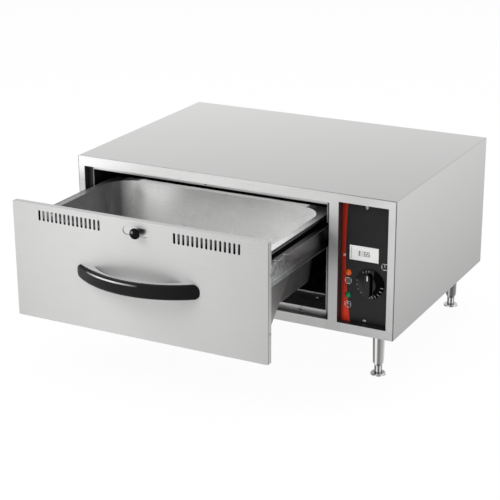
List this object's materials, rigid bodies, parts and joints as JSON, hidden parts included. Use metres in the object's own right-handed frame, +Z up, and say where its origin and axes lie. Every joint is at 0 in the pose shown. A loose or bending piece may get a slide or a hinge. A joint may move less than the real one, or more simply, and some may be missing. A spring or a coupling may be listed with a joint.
{
  "type": "countertop warming drawer",
  "caption": "Stainless countertop food warmer: a heated drawer on roller slides holds a removable gastronorm pan, with a control bay beside it.",
  "frame": {"origin": "on the counter under the middle of the whole in the pose of the picture, drawer open", "axes": "+X to the right seen from the front, +Y towards the back, +Z up; the drawer opens towards -Y"},
  "size_m": [0.74, 0.858, 0.394],
  "materials": {
    "brushed_stainless": "satin",
    "inner_steel": "satin",
    "dark_liner": "matte",
    "pan_steel": "polished",
    "black_plastic": "gloss",
    "charcoal_panel": "satin",
    "meter_white": "satin",
    "meter_glass": "gloss",
    "green_lens": "gloss",
    "orange_lens": "gloss",
    "housing_black": "matte",
    "plated_steel": "satin",
    "screw_steel": "polished",
    "nylon_roller": "matte",
    "element_sheath": "matte",
    "copper_probe": "satin",
    "mineral_wool": "matte",
    "foot_chrome": "polished"
  },
  "bodies": {
    "cabinet": {"outer_casing": "brushed_stainless", "face_frame": "brushed_stainless", "rear_panel": "brushed_stainless", "base_pan": "brushed_stainless", "insulation_blanket": "mineral_wool", "cavity_ring": "inner_steel", "cavity_liner": "dark_liner", "bay_partition": "inner_steel", "heating_element": "element_sheath", "element_brackets": "inner_steel", "heater_cover": "inner_steel", "sensor_probe": "copper_probe", "bulb_clips": "plated_steel", "cabinet_track_left": "plated_steel", "cabinet_track_right": "plated_steel", "track_axles": "plated_steel", "control_panel": "charcoal_panel", "thermometer_bezel": "meter_white", "thermometer_glass": "meter_glass", "thermometer_case": "housing_black", "power_lamp": "green_lens", "heat_lamp": "orange_lens", "lamp_holders": "housing_black", "thermostat": "plated_steel", "terminal_block": "housing_black", "cord_gland": "housing_black", "gland_nut": "housing_black", "legs": "brushed_stainless", "leg_nuts": "plated_steel", "front_screws": "screw_steel", "rear_panel_screws": "screw_steel"},
    "drawer": {"drawer_front": "brushed_stainless", "drawer_front_inner": "inner_steel", "front_insulation": "mineral_wool", "vent_guides": "inner_steel", "handle": "black_plastic", "handle_screws": "plated_steel", "drawer_fixings": "screw_steel", "drawer_rail_left": "plated_steel", "drawer_rail_right": "plated_steel", "rail_axles": "plated_steel", "pan_support_left": "inner_steel", "pan_support_right": "inner_steel", "drawer_gusset_left": "inner_steel", "drawer_gusset_right": "inner_steel", "front_cross_bar": "inner_steel", "rear_cross_bar": "inner_steel"},
    "pan": {"food_pan": "pan_steel"},
    "shutter": {"vent_shutter": "dark_liner", "vent_knob": "black_plastic"},
    "dial": {"thermostat_knob": "black_plastic", "thermostat_shaft": "plated_steel"},
    "front_roller_left": {"front_roller_left": "nylon_roller"},
    "front_roller_right": {"front_roller_right": "nylon_roller"},
    "rear_roller_left": {"rear_roller_left": "nylon_roller"},
    "rear_roller_right": {"rear_roller_right": "nylon_roller"},
    "foot_front_left": {"foot_front_left": "foot_chrome"},
    "foot_front_right": {"foot_front_right": "foot_chrome"},
    "foot_rear_left": {"foot_rear_left": "foot_chrome"},
    "foot_rear_right": {"foot_rear_right": "foot_chrome"}
  },
  "joints": [
    {"name": "drawer_slide", "type": "slide", "parent": "cabinet", "child": "drawer", "axis": [0, -1, 0], "range_m": [-0.264, 0.096]},
    {"name": "vent_slide", "type": "slide", "parent": "drawer", "child": "shutter", "axis": [1, 0, 0], "range_m": [-0.028, 0.02]},
    {"name": "pan_lift", "type": "slide", "parent": "drawer", "child": "pan", "axis": [0, 0, 1], "range_m": [0, 0.025]},
    {"name": "dial_turn", "type": "hinge", "parent": "cabinet", "child": "dial", "pos_m": [0.311, -0.098, 0.208], "axis": [0, 1, 0], "range_deg": [0, 270]},
    {"name": "front_roller_left_turn", "type": "hinge", "parent": "cabinet", "child": "front_roller_left", "pos_m": [-0.3462, -0.068, 0.2985], "axis": [1, 0, 0], "range_deg": [-733, 268]},
    {"name": "front_roller_right_turn", "type": "hinge", "parent": "cabinet", "child": "front_roller_right", "pos_m": [0.2178, -0.068, 0.2985], "axis": [1, 0, 0], "range_deg": [-733, 268]},
    {"name": "rear_roller_left_turn", "type": "hinge", "parent": "drawer", "child": "rear_roller_left", "pos_m": [-0.3462, 0.082, 0.2985], "axis": [1, 0, 0], "range_deg": [-322, 882]},
    {"name": "rear_roller_right_turn", "type": "hinge", "parent": "drawer", "child": "rear_roller_right", "pos_m": [0.2178, 0.082, 0.2985], "axis": [1, 0, 0], "range_deg": [-322, 882]},
    {"name": "foot_front_left_turn", "type": "hinge", "parent": "cabinet", "child": "foot_front_left", "pos_m": [-0.32, -0.065, 0.01], "axis": [0, 0, 1], "continuous": true},
    {"name": "foot_front_right_turn", "type": "hinge", "parent": "cabinet", "child": "foot_front_right", "pos_m": [0.32, -0.065, 0.01], "axis": [0, 0, 1], "continuous": true},
    {"name": "foot_rear_left_turn", "type": "hinge", "parent": "cabinet", "child": "foot_rear_left", "pos_m": [-0.32, 0.365, 0.01], "axis": [0, 0, 1], "continuous": true},
    {"name": "foot_rear_right_turn", "type": "hinge", "parent": "cabinet", "child": "foot_rear_right", "pos_m": [0.32, 0.365, 0.01], "axis": [0, 0, 1], "continuous": true}
  ],
  "couplings": [
    {"joint": "front_roller_left_turn", "follows": "drawer_slide", "rad_per_m": 48.309},
    {"joint": "front_roller_right_turn", "follows": "drawer_slide", "rad_per_m": 48.309},
    {"joint": "rear_roller_left_turn", "follows": "drawer_slide", "rad_per_m": -58.139},
    {"joint": "rear_roller_right_turn", "follows": "drawer_slide", "rad_per_m": -58.139}
  ]
}
